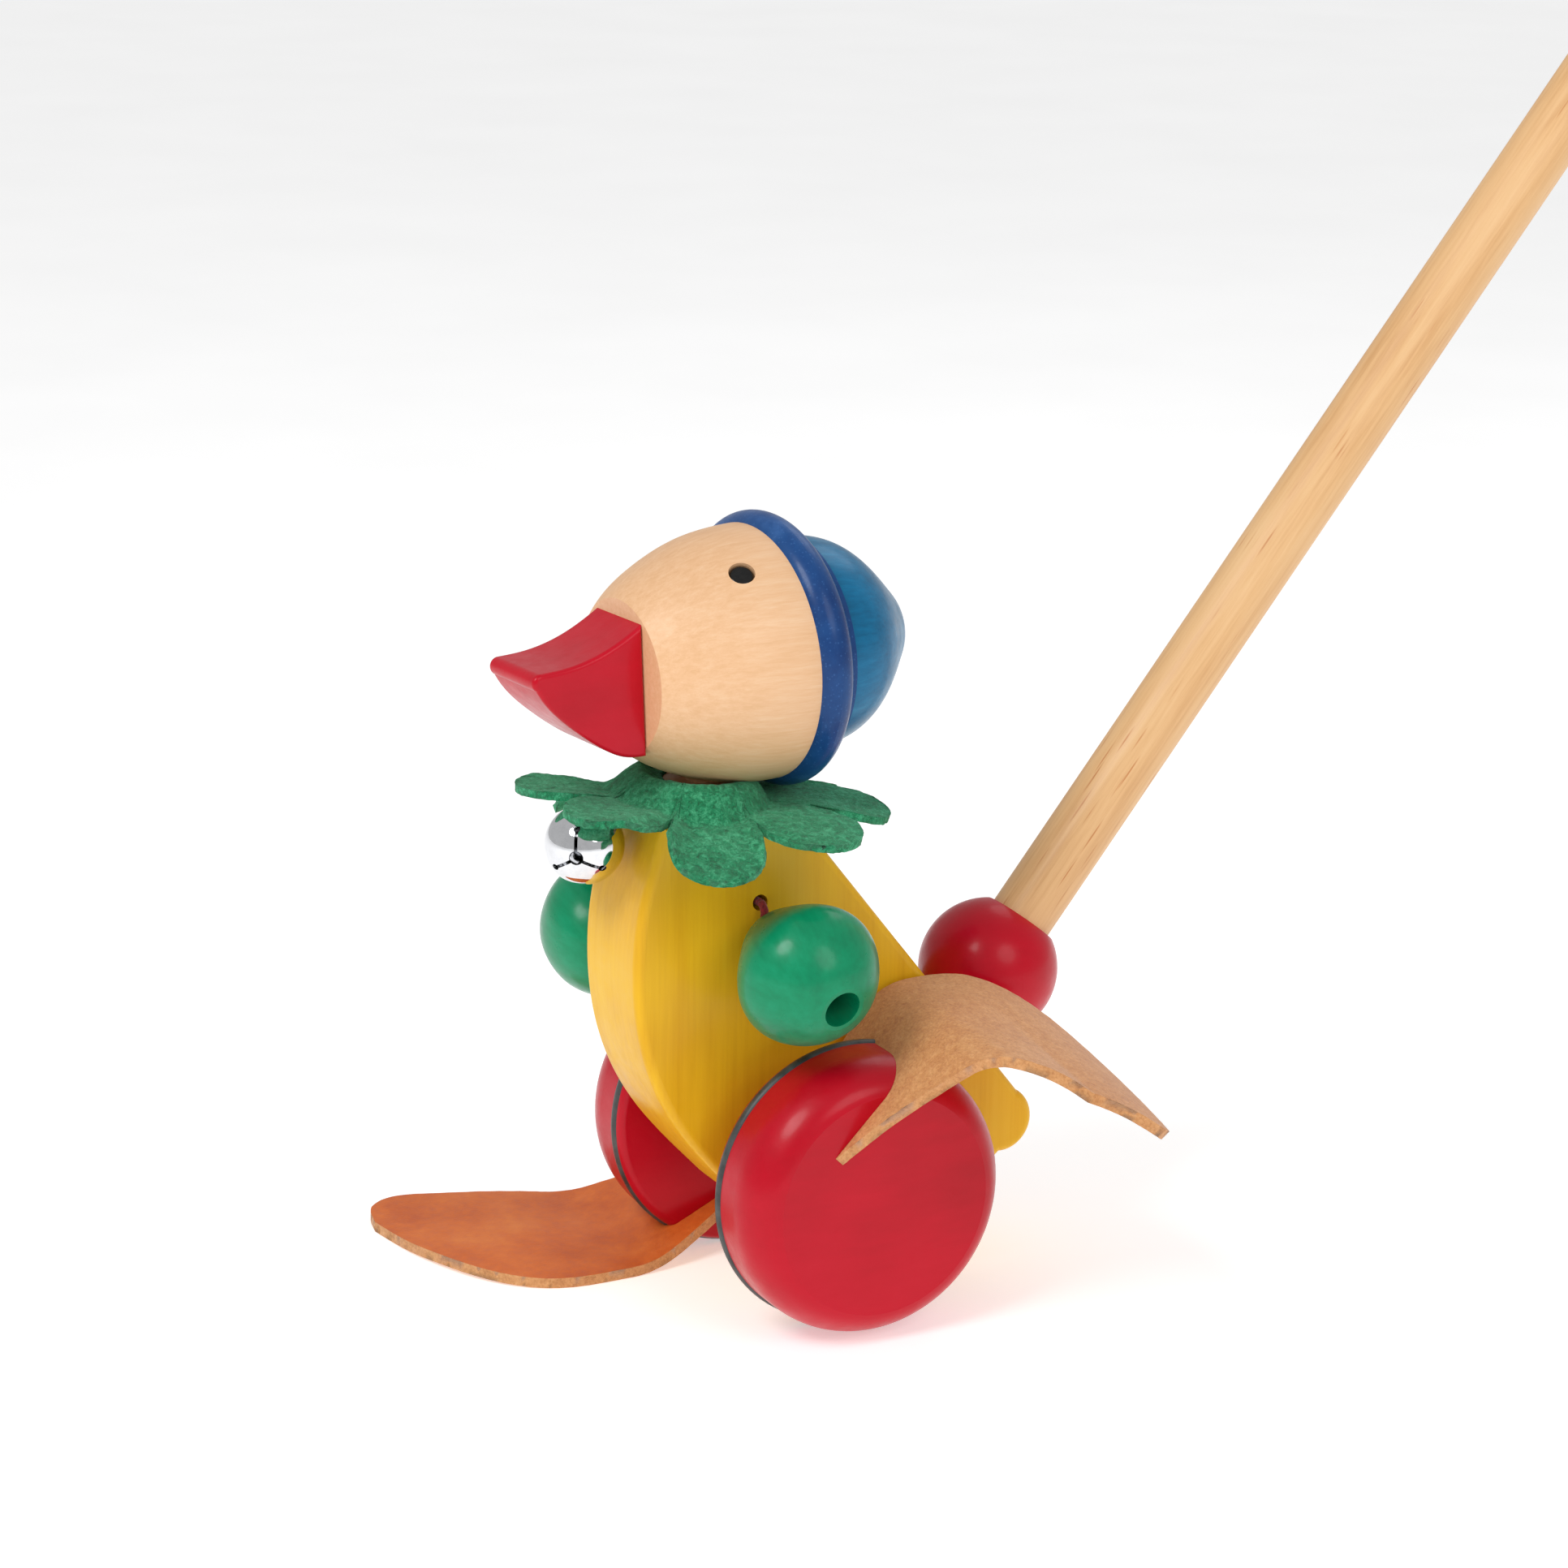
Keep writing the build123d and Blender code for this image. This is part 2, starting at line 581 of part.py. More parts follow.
def make_cord_tail(wing):
    """The cord inside the wing, from its tip to the knot."""
    centre, axis, _ = wing
    start = cord_hinge(wing)
    return along(start, axis, CORD_R, (centre + axis * 3.0 - start).length)


def make_knot(wing):
    """The cord's stop knot, seated in the counterbore."""
    centre, axis, _ = wing
    knot = Pos(*(centre + axis * (2.0 + KNOT_R))) * Sphere(KNOT_R)
    return knot - along(centre, axis, CORD_R, 3.0)


def make_cord_core():
    return x_cylinder(CORD_R, -BODY_HALF - 0.05, BODY_HALF + 0.05, CORD_Y, CORD_Z)


# --- write every piece --------------------------------------------------------
def make_all():
    """Every separate piece, by name."""
    return {
        "body": make_body(),
        "axle": make_axle(),
        "wheel_left": make_wheel(KERF_TURN_LEFT),
        "wheel_right": mirror_x(make_wheel(KERF_TURN_RIGHT)),
        "tyre_left": tyre_solid(TYRE_SECTION_R),
        "tyre_right": mirror_x(tyre_solid(TYRE_SECTION_R)),
        "spacer_left": make_spacer(),
        "spacer_right": mirror_x(make_spacer()),
        "foot_left_heel": make_foot_heel(KERF_TURN_LEFT),
        "foot_right_heel": mirror_x(make_foot_heel(KERF_TURN_RIGHT)),
        "foot_left_blade": make_foot_blade(KERF_TURN_LEFT, LEFT_BENDS),
        "foot_right_blade": mirror_x(make_foot_blade(KERF_TURN_RIGHT, RIGHT_BENDS)),
        "neck_dowel": make_neck_dowel(),
        "neck_ring": make_neck_ring(),
        "collar": make_collar(),
        "head": make_head(),
        "eye_left": on_neck(make_eye(1)),
        "eye_right": on_neck(make_eye(-1)),
        "beak": on_neck(make_beak()),
        "beak_dowel": on_neck(make_beak_dowel()),
        "hat_brim": on_neck(make_brim()),
        "hat_crown": on_neck(make_crown()),
        "hat_dowel": on_neck(make_hat_dowel()),
        "rod_ball": make_rod_ball(),
        "push_rod": make_push_rod(),
        "screw_eye": make_screw_eye(),
        "bell_shell_rear": make_bell_rear(),
        "bell_shell_front": make_bell_front(),
        "bell_clapper": make_bell_clapper(),
        "wing_left": make_wing(LEFT_WING),
        "wing_right": mirror_x(make_wing(RIGHT_WING)),
        "cord_core": make_cord_core(),
        "cord_bend_left": make_cord_bend(LEFT_WING),
        "cord_bend_right": mirror_x(make_cord_bend(RIGHT_WING)),
        "cord_tail_left": make_cord_tail(LEFT_WING),
        "cord_tail_right": mirror_x(make_cord_tail(RIGHT_WING)),
        "knot_left": make_knot(LEFT_WING),
        "knot_right": mirror_x(make_knot(RIGHT_WING)),
    }


if __name__ == "__main__":
    os.makedirs("parts", exist_ok=True)
    for name, solid in make_all().items():
        export_step(solid, "parts/" + name + ".step")
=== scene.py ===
import json
import math

import bpy
from mathutils import Matrix, Vector, noise


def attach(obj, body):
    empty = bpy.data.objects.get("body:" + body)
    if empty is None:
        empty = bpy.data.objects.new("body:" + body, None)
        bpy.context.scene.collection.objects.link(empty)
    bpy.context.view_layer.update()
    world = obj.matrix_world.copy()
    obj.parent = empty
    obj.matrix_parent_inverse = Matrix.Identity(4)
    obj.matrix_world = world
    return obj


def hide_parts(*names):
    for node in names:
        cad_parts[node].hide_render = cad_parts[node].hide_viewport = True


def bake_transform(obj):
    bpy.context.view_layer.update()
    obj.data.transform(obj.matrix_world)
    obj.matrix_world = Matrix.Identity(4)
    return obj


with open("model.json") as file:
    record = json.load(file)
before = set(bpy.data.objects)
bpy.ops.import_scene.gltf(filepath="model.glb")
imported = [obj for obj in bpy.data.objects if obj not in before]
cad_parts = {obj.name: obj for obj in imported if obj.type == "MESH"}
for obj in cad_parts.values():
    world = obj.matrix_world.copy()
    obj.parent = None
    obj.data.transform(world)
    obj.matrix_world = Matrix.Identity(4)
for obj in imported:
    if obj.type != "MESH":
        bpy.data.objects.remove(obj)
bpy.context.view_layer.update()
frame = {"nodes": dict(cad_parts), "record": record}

MM = 0.001
X_AXIS = Vector((1, 0, 0))

# --- camera -------------------------------------------------------------------
CAMERA_AT = Vector((0.9363, -0.4978, 0.4351))
CAMERA_AIM = Vector((0.0, -0.0036, 0.1416))
CAMERA_ROLL = 0.72
CAMERA_LENS = 94.36


def make_camera():
    data = bpy.data.cameras.new("camera")
    data.sensor_width = 36
    data.lens = CAMERA_LENS
    data.clip_end = 60
    camera = bpy.data.objects.new("camera", data)
    bpy.context.scene.collection.objects.link(camera)
    look = (CAMERA_AIM - CAMERA_AT).to_track_quat("-Z", "Y").to_matrix()
    roll = Matrix.Rotation(math.radians(CAMERA_ROLL), 3, "Z")
    camera.matrix_world = Matrix.Translation(CAMERA_AT) @ (look @ roll).to_4x4()
    bpy.context.scene.camera = camera


# --- materials ----------------------------------------------------------------
def linear(red, green, blue):
    """An 8-bit display colour as the linear colour that the shader takes."""
    out = []
    for value in (red, green, blue):
        c = value / 255
        out.append(c / 12.92 if c <= 0.04045 else ((c + 0.055) / 1.055) ** 2.4)
    return (*out, 1.0)


class Look:
    """A small builder for one procedural material."""

    def __init__(self, name, **shader):
        self.material = bpy.data.materials.new(name)
        self.material.use_nodes = True
        self.tree = self.material.node_tree
        self.shader = self.tree.nodes["Principled BSDF"]
        self.normal = None
        for key, value in shader.items():
            self.shader.inputs[key.replace("_", " ")].default_value = value

    def add(self, kind, **inputs):
        node = self.tree.nodes.new("ShaderNode" + kind)
        for key, value in inputs.items():
            self.feed(node.inputs[key.replace("_", " ")], value)
        return node

    def feed(self, socket, value):
        if isinstance(value, bpy.types.NodeSocket):
            self.tree.links.new(value, socket)
        else:
            socket.default_value = value

    def place(self, scale=(1, 1, 1), turn=(0, 0, 0), shift=(0, 0, 0)):
        """Object coordinates in metres, scaled so that one unit is one grain."""
        where = self.add("TexCoord").outputs["Object"]
        turned = self.add("Mapping", Vector=where, Rotation=[math.radians(t) for t in turn])
        return self.add("Mapping", Vector=turned.outputs[0], Scale=scale, Location=shift).outputs[0]

    def noise(self, vector, scale=1.0, detail=4.0, rough=0.55, distort=0.0):
        node = self.add("TexNoise", Vector=vector, Scale=scale, Detail=detail,
                        Roughness=rough, Distortion=distort)
        return node.outputs["Fac"]

    def cells(self, vector, scale=1.0):
        return self.add("TexVoronoi", Vector=vector, Scale=scale).outputs["Distance"]

    def math(self, how, a, b=0.0):
        node = self.tree.nodes.new("ShaderNodeMath")
        node.operation = how
        self.feed(node.inputs[0], a)
        self.feed(node.inputs[1], b)
        return node.outputs[0]

    def ramp(self, factor, *stops):
        """stops are (place, colour or grey) pairs."""
        node = self.tree.nodes.new("ShaderNodeValToRGB")
        line = node.color_ramp
        while len(line.elements) < len(stops):
            line.elements.new(1.0)
        for element, (at, colour) in zip(line.elements, stops):
            element.position = at
            element.color = colour if hasattr(colour, "__len__") else (colour,) * 3 + (1.0,)
        self.feed(node.inputs[0], factor)
        return node.outputs["Color"]

    def mix(self, factor, a, b, how="MIX"):
        node = self.tree.nodes.new("ShaderNodeMix")
        node.data_type = "RGBA"
        node.blend_type = how
        self.feed(node.inputs["Factor"], factor)
        self.feed(node.inputs[6], a)
        self.feed(node.inputs[7], b)
        return node.outputs[2]

    def bump(self, height, distance, strength=1.0):
        node = self.add("Bump", Height=height, Distance=distance, Strength=strength)
        if self.normal is not None:
            self.feed(node.inputs["Normal"], self.normal)
        self.normal = node.outputs[0]
        self.feed(self.shader.inputs["Normal"], self.normal)

    def colour(self, value):
        self.feed(self.shader.inputs["Base Color"], value)

    def rough(self, value):
        self.feed(self.shader.inputs["Roughness"], value)


def lacquered_wood(name, dark, mid, light, grain=(160, 160, 9), turn=(0, 0, 0), streak=0.35,
                   speck=0.0, gloss=0.30, coat=0.3):
    """Stained and lacquered wood: long grain, cloudy stain, pores and orange peel."""
    look = Look(name, Coat_Weight=coat, Coat_Roughness=0.18, Coat_IOR=1.35, Specular_IOR_Level=0.16)
    long_grain = look.place(grain, turn)
    fibre = look.noise(long_grain, 1.0, 5.0, 0.62, 0.25)
    fine = look.noise(long_grain, 5.5, 3.0, 0.6)
    cloud = look.noise(look.place((22, 22, 22)), 1.0, 2.0, 0.5)
    tone = look.math("MULTIPLY_ADD", fibre, streak)
    tone.node.inputs[2].default_value = 0.5 - streak / 2
    tone = look.math("ADD", tone, look.math("MULTIPLY", look.math("SUBTRACT", fine, 0.5), streak * 0.6))
    tone = look.math("ADD", tone, look.math("MULTIPLY", look.math("SUBTRACT", cloud, 0.5), 0.45))
    colour = look.ramp(tone, (0.30, dark), (0.52, mid), (0.74, light))
    if speck:
        dots = look.cells(look.place((1, 1, 1)), 900.0)
        colour = look.mix(look.ramp(dots, (0.05, speck), (0.30, 0.0)), colour, light)
    look.colour(colour)
    patches = look.noise(look.place((1, 1, 1)), 240.0, 3.0)
    look.rough(look.ramp(patches, (0.3, gloss - 0.06), (0.7, gloss + 0.09)))
    look.bump(fibre, 0.00012, 0.35)
    look.bump(look.noise(look.place((1, 1, 1)), 850.0, 2.0), 0.00006, 0.5)
    return look.material


def bare_wood(name, dark, mid, light, grain, turn=(0, 0, 0), flecks=0.0, gloss=0.48):
    """Clear-lacquered pale wood with fine grain and, for beech, short dark flecks."""
    look = Look(name, Coat_Weight=0.12, Coat_Roughness=0.3)
    long_grain = look.place(grain, turn)
    fibre = look.noise(long_grain, 1.0, 6.0, 0.6, 0.2)
    fine = look.noise(long_grain, 4.2, 4.0, 0.65)
    cloud = look.noise(look.place((14, 14, 14)), 1.0, 2.0)
    tone = look.math("ADD", look.math("MULTIPLY", fibre, 0.5), look.math("MULTIPLY", fine, 0.25))
    tone = look.math("ADD", tone, look.math("MULTIPLY", cloud, 0.25))
    colour = look.ramp(tone, (0.36, dark), (0.50, mid), (0.66, light))
    if flecks:
        spots = look.cells(look.place([g * 2.6 for g in grain], turn), 1.0)
        where = look.noise(look.place((60, 60, 60)), 1.0, 2.0)
        mask = look.math("MULTIPLY", look.ramp(spots, (0.10, flecks), (0.24, 0.0)),
                         look.ramp(where, (0.42, 0.0), (0.6, 1.0)))
        colour = look.mix(mask, colour, dark, "MULTIPLY")
        look.bump(look.math("SUBTRACT", 1.0, mask), 0.00008, 0.5)
    look.colour(colour)
    look.rough(look.ramp(fine, (0.3, gloss - 0.06), (0.7, gloss + 0.08)))
    look.bump(fibre, 0.0001, 0.3)
    look.bump(fine, 0.00004, 0.35)
    return look.material


def black_peg():
    look = Look("black_peg", Coat_Weight=0.35, Coat_Roughness=0.08, Specular_IOR_Level=0.25)
    tone = look.noise(look.place((1, 1, 1)), 700.0, 3.0)
    look.colour(look.ramp(tone, (0.3, linear(4, 4, 4)), (0.7, linear(15, 14, 13))))
    look.rough(look.ramp(tone, (0.3, 0.20), (0.7, 0.32)))
    return look.material


def tyre_rubber():
    look = Look("tyre_rubber")
    dust = look.noise(look.place((1, 1, 1)), 160.0, 5.0, 0.6)
    look.colour(look.ramp(dust, (0.35, linear(46, 50, 50)), (0.7, linear(82, 87, 86))))
    look.rough(look.ramp(dust, (0.3, 0.34), (0.7, 0.52)))
    look.bump(look.noise(look.place((1, 1, 1)), 1400.0, 3.0), 0.00005, 0.5)
    return look.material


def felt():
    look = Look("felt", Sheen_Weight=0.55, Sheen_Roughness=0.45, Roughness=0.95)
    look.shader.inputs["Sheen Tint"].default_value = linear(150, 215, 180)
    clumps = look.noise(look.place((1, 1, 1)), 520.0, 6.0, 0.72, 0.8)
    fibres = look.noise(look.place((1, 1, 1)), 1500.0, 5.0, 0.75, 1.6)
    patch = look.noise(look.place((1, 1, 1)), 90.0, 3.0)
    tone = look.math("ADD", look.math("MULTIPLY", clumps, 0.5), look.math("MULTIPLY", fibres, 0.35))
    tone = look.math("ADD", tone, look.math("MULTIPLY", patch, 0.15))
    look.colour(look.ramp(tone, (0.40, linear(4, 80, 46)),
                        (0.50, linear(14, 134, 86)), (0.60, linear(78, 186, 136))))
    look.bump(clumps, 0.0007, 0.8)
    look.bump(fibres, 0.0003, 0.8)
    return look.material


def leather_smooth():
    look = Look("leather_smooth", Coat_Weight=0.06, Coat_Roughness=0.4)
    pores = look.cells(look.place((1, 1, 1)), 1100.0)
    cloud = look.noise(look.place((1, 1, 1)), 45.0, 5.0, 0.6)
    fine = look.noise(look.place((1, 1, 1)), 420.0, 4.0, 0.6)
    tone = look.math("ADD", look.math("MULTIPLY", cloud, 0.7), look.math("MULTIPLY", fine, 0.3))
    look.colour(look.ramp(tone, (0.34, linear(200, 90, 26)),
                        (0.52, linear(220, 112, 40)), (0.70, linear(232, 134, 60))))
    look.rough(look.ramp(fine, (0.3, 0.46), (0.7, 0.60)))
    look.bump(pores, 0.00012, 0.35)
    look.bump(fine, 0.00015, 0.35)
    return look.material


def leather_suede(name, dark, mid, light, nap=0.0004):
    look = Look(name, Roughness=0.93, Sheen_Weight=0.25, Sheen_Roughness=0.5)
    grain = look.noise(look.place((1, 1, 1)), 1250.0, 5.0, 0.7, 0.5)
    clumps = look.noise(look.place((1, 1, 1)), 330.0, 5.0, 0.65)
    cloud = look.noise(look.place((1, 1, 1)), 50.0, 3.0)
    tone = look.math("ADD", look.math("MULTIPLY", grain, 0.55), look.math("MULTIPLY", clumps, 0.30))
    tone = look.math("ADD", tone, look.math("MULTIPLY", cloud, 0.15))
    look.colour(look.ramp(tone, (0.36, dark), (0.50, mid), (0.64, light)))
    look.bump(clumps, nap, 0.5)
    look.bump(grain, nap * 0.6, 0.7)
    return look.material


def metal(name, tint, roughness, wear):
    look = Look(name, Metallic=1.0)
    scratch = look.noise(look.place((1, 1, 1)), 380.0, 5.0, 0.7)
    look.colour(look.ramp(scratch, (0.3, [c * 0.9 for c in tint[:3]] + [1.0]), (0.6, tint)))
    look.rough(look.ramp(scratch, (0.35, roughness), (0.75, roughness + wear)))
    look.bump(scratch, 0.00002, 0.4)
    return look.material


def cord_red():
    look = Look("cord_red", Roughness=0.85, Sheen_Weight=0.3)
    fibre = look.noise(look.place((1, 1, 1)), 1900.0, 4.0, 0.7)
    look.colour(look.ramp(fibre, (0.35, linear(96, 10, 20)), (0.65, linear(176, 36, 46))))
    look.bump(fibre, 0.0002, 0.7)
    return look.material


ROD_TILT = 38.7


def make_looks():
    ash = (linear(224, 174, 126), linear(232, 185, 140), linear(238, 198, 158))
    return {
        "yellow_lacquer": lacquered_wood(
            "yellow_lacquer", linear(214, 152, 16), linear(236, 182, 30), linear(246, 202, 56),
            grain=(170, 170, 6), streak=0.28, gloss=0.36, coat=0.25),
        "red_lacquer": lacquered_wood(
            "red_lacquer", linear(168, 0, 22), linear(192, 1, 32), linear(204, 12, 42),
            grain=(60, 14, 60), streak=0.2, gloss=0.36, coat=0.35),
        "green_lacquer": lacquered_wood(
            "green_lacquer", linear(2, 100, 66), linear(6, 136, 92), linear(24, 160, 116),
            grain=(14, 90, 90), turn=(0, -17, 0), streak=0.35, gloss=0.32, coat=0.4),
        "natural_maple": bare_wood("natural_maple", *ash, grain=(760, 60, 760)),
        "beech": bare_wood(
            "beech", linear(214, 162, 106), linear(229, 182, 127), linear(237, 195, 143),
            grain=(300, 300, 14), turn=(ROD_TILT, 0, 0), flecks=0.75),
        "dowel_wood": bare_wood("dowel_wood", *ash, grain=(20, 420, 420)),
        "dark_blue_lacquer": lacquered_wood(
            "dark_blue_lacquer", linear(14, 46, 100), linear(28, 74, 132), linear(70, 116, 178),
            grain=(40, 40, 40), streak=0.35, speck=0.35, gloss=0.34),
        "light_blue_lacquer": lacquered_wood(
            "light_blue_lacquer", linear(4, 84, 122), linear(10, 110, 154), linear(38, 138, 180),
            grain=(170, 12, 170), streak=0.45, gloss=0.34),
        "black_peg": black_peg(),
        "tyre_rubber": tyre_rubber(),
        "felt": felt(),
        "leather": leather_smooth(),
        "bell_chrome": metal("bell_chrome", linear(232, 233, 236), 0.05, 0.06),
        "steel": metal("steel", linear(190, 192, 196), 0.18, 0.15),
        "red_cord": cord_red(),
    }


def dress_cad_nodes(looks):
    """Every CAD node that stays visible takes its slot's procedural material."""
    for part in frame["record"]["subparts"]:
        node = frame["nodes"][part["node"]]
        for holder in node.material_slots:
            holder.material = looks[part["material_slot"]]


# --- mesh helpers -------------------------------------------------------------
def link_mesh(name, points, faces, materials):
    mesh = bpy.data.meshes.new(name)
    mesh.from_pydata([tuple(p) for p in points], [], faces)
    mesh.update()
    for face in mesh.polygons:
        face.use_smooth = True
    for material in materials:
        mesh.materials.append(material)
    piece = bpy.data.objects.new(name, mesh)
    bpy.context.scene.collection.objects.link(piece)
    return piece


def settle(piece):
    """Applies the piece's modifiers, so that its mesh is final."""
    bpy.context.view_layer.update()
    shape = piece.evaluated_get(bpy.context.evaluated_depsgraph_get())
    mesh = bpy.data.meshes.new_from_object(shape)
    piece.modifiers.clear()
    old = piece.data
    piece.data = mesh
    bpy.data.meshes.remove(old)
    return piece


def through(points, t):
    """A smooth curve through (a, b) pairs, t from 0 to 1."""
    spans = len(points) - 1
    k = min(int(t * spans), spans - 1)
    f = t * spans - k
    p0, p1, p2, p3 = (Vector(points[min(max(k + j, 0), spans)]) for j in (-1, 0, 1, 2))
    return 0.5 * (2 * p1 + (p2 - p0) * f + (2 * p0 - 5 * p1 + 4 * p2 - p3) * f * f
                  + (3 * p1 - p0 - 3 * p2 + p3) * f ** 3)


def roughen(piece, size, amount, seed):
    """Moves every vertex a little along its normal by smooth noise."""
    shift = Vector((seed * 7.31, seed * 3.17, seed * 1.93))
    mesh = piece.data
    moves = [v.normal * noise.noise(v.co / size + shift) * amount for v in mesh.vertices]
    for v, move in zip(mesh.vertices, moves):
        v.co += move
    mesh.update()


# --- leather feet -------------------------------------------------------------
AXLE = Vector((0, 0, 39.3))
WHEEL_R = 38.6
KERF_OFFSET = 20.4
KERF_START = 0.4
HINGE_PAST_RIM = 6.2
HINGE_S = math.sqrt(WHEEL_R ** 2 - KERF_OFFSET ** 2) - KERF_START + HINGE_PAST_RIM
LEATHER = 3.0
# (along the foot, sideways from the toy's middle), in millimetres
OUTER_EDGE = [(0.0, 53.6), (18, 61), (40, 74), (54, 82), (74, 91.5), (90, 96.0), (99.5, 91.0),
              (103, 80)]
INNER_EDGE = [(0.0, 28.8), (18, 23.5), (36, 19.0), (53, 17.4), (70, 18.2), (82, 24.0),
              (92, 36.5), (99.5, 57.0), (103, 80)]
EASE_LENGTH = 30
FREE_LENGTH = 64
SIDE_PIVOT = 30


def walk(bends, distance):
    """Place and heading of the bent leather past the hinge, in the kerf's plane."""
    x, y, heading = HINGE_S, 0.0, 0.0
    for length, turn in bends:
        step = min(distance, length)
        swing = math.radians(turn) * step / length
        chord = step if swing == 0 else step * math.sin(swing / 2) / (swing / 2)
        x += chord * math.cos(heading + swing / 2)
        y += chord * math.sin(heading + swing / 2)
        heading += swing
        distance -= step
    return x + distance * math.cos(heading), y + distance * math.sin(heading), heading


def foot_point(turn, side, bends, s, x, droop, ripple):
    """A point of the leather's middle sheet, in millimetres."""
    a = math.radians(turn)
    forward = Vector((0, math.cos(a), math.sin(a)))
    off = Vector((0, math.sin(a), -math.cos(a)))
    origin = AXLE - off * KERF_OFFSET + forward * KERF_START
    if s <= HINGE_S:
        along, lift = s, 0.0
    else:
        free = s - HINGE_S
        along, lift, heading = walk(bends, free)
        ease = min(1.0, free / EASE_LENGTH) ** 1.3 * (1 + 0.25 * (free / FREE_LENGTH) ** 2)
        wave = 0.5 + 0.5 * math.sin(x * 0.075 + s * 0.05)
        sink = ease * (x - SIDE_PIVOT) * droop + min(ease, 1) * ripple * wave
        along += -sink * math.sin(heading)
        lift += sink * math.cos(heading)
    return origin + forward * along + off * lift + X_AXIS * (side * x)


ROWS, COLUMNS = 92, 30


def make_foot(name, turn, side, bends, droop, ripple, seed, looks):
    """One leather sheet, clamped in the kerf, flaring out and bending past the rim."""
    points = []
    for i in range(ROWS + 1):
        t = 1 - (1 - i / ROWS) ** 1.25
        inner, outer = through(INNER_EDGE, t), through(OUTER_EDGE, t)
        for j in range(COLUMNS + 1):
            f = 0.5 - 0.5 * math.cos(math.pi * j / COLUMNS)
            s, x = inner.lerp(outer, f)
            points.append(foot_point(turn, side, bends, s, x, droop, ripple) * MM)
    faces = []
    for i in range(ROWS):
        for j in range(COLUMNS):
            a = i * (COLUMNS + 1) + j
            quad = (a, a + 1, a + COLUMNS + 2, a + COLUMNS + 1)
            faces.append(quad if side > 0 else quad[::-1])
    foot = link_mesh(name, points, faces, [looks["suede"], looks["leather"], looks["cut"]])
    weld = foot.modifiers.new("weld", "WELD")
    weld.merge_threshold = 0.00005
    thick = foot.modifiers.new("thick", "SOLIDIFY")
    thick.thickness = LEATHER * MM * 0.96
    thick.offset = 0
    thick.material_offset = 1
    thick.material_offset_rim = 2
    edge = foot.modifiers.new("edge", "BEVEL")
    edge.width = 0.0005
    edge.segments = 2
    edge.limit_method = "ANGLE"
    edge.angle_limit = math.radians(50)
    edge.material = -1
    settle(foot)
    roughen(foot, 0.0016, 0.00009, seed)
    for face in foot.data.polygons:
        face.use_smooth = True
    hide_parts(f"foot_{name[5:]}_heel", f"foot_{name[5:]}_blade")
    hinge = foot_point(turn, side, bends, HINGE_S, 47, 0, 0) * MM
    a = math.radians(turn)
    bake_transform(foot)


# --- felt collar --------------------------------------------------------------
NECK = Vector((0, -27.5, 139.35))
COLLAR_HOLE_R = 11.3
COLLAR_NECK_RISE = 5.3
COLLAR_LIP = 2.3
COLLAR_LIP_WIDTH = 5.5
COLLAR_NECK_WIDTH = 10.5
COLLAR_BACK_WIDTH = 4.5
LOBE_REACH = 50.0
LOBE_HALF = 12.3
HALF_LOBE_TURN = 22.5
NOTCH_TURN = 21.4
BLEND_TURN = 12
# (turn, lift at the bend in degrees, radius of the bend, curl downwards)
LOBES = [(-21, 18.5, 15, 0.0052), (24, 18.5, 15, 0.0046), (69, -13, 21, 0.0042), (114, -2, 22, 0.0042),
         (159, -7, 23, 0.0035), (204, -9, 23, 0.0042), (249, -12, 22, 0.0042), (294, -17, 21, 0.0042)]
FELT = 2.1
RINGS, SPOKES = 46, 384


def lobe_edge(off):
    """How far the felt reaches at an angle off a lobe's middle, in degrees."""
    a = math.radians(abs(off))
    centre = LOBE_REACH - LOBE_HALF
    reach = centre * math.sin(a)
    tip = centre * math.cos(a) + math.sqrt(LOBE_HALF ** 2 - reach ** 2) if reach < LOBE_HALF else 0
    side = LOBE_HALF / math.sin(a) if a > 0.01 else 1e9
    if reach < LOBE_HALF and centre * math.cos(a) <= tip * math.cos(a):
        return tip
    return min(side, LOBE_REACH)


def lobe_height(lobe, r, off):
    """Rise of a lobe past its bend, with a soft droop and a slight trough."""
    _, lift, bend, curl = lobe
    past = max(0.0, r - bend)
    slope = math.tan(math.radians(lift))
    soft = past * past / (past + 5.0)
    return soft * slope - curl * past * past + 0.0012 * past * off * off / 12


